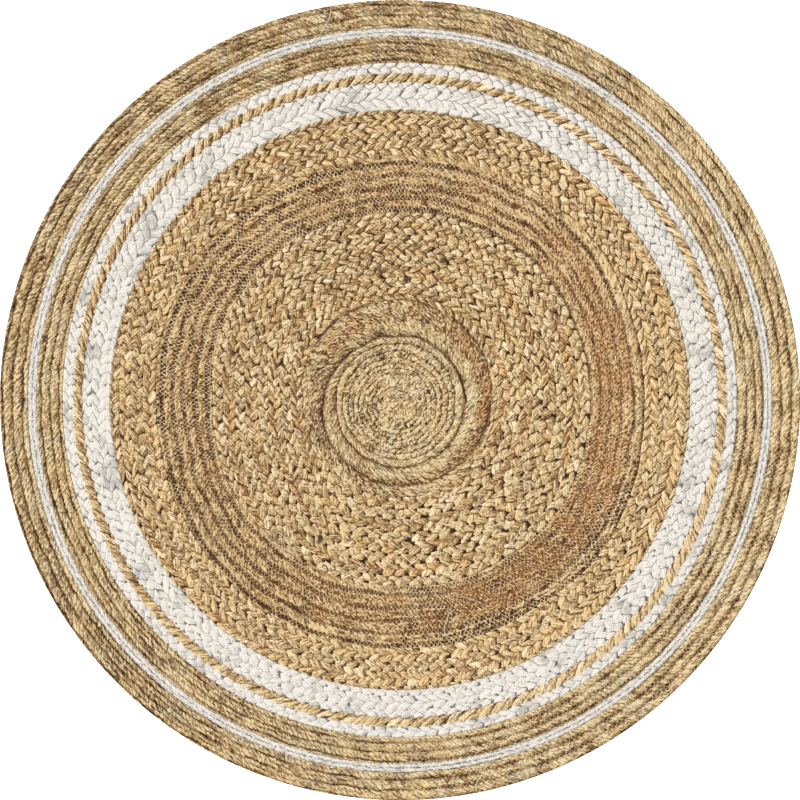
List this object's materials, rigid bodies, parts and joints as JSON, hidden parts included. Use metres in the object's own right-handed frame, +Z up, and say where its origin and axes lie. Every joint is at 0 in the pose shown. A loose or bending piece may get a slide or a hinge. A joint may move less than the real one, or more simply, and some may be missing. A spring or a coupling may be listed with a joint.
{
  "type": "vinyl rug",
  "caption": "Round vinyl rug, one flat flexible sheet whose face is printed and embossed like braided and corded jute with painted white rings.",
  "frame": {"origin": "middle of the flat underside, on the floor", "axes": "+Z up through the thickness, +X to the right and +Y to the top of the rug as it is seen in the picture"},
  "size_m": [1.2, 1.2, 0.003],
  "materials": {
    "printed_vinyl": "matt printed and embossed soft PVC, jute tan with warm white rings"
  },
  "bodies": {
    "root": {"vinyl_sheet": "printed_vinyl"}
  },
  "joints": []
}
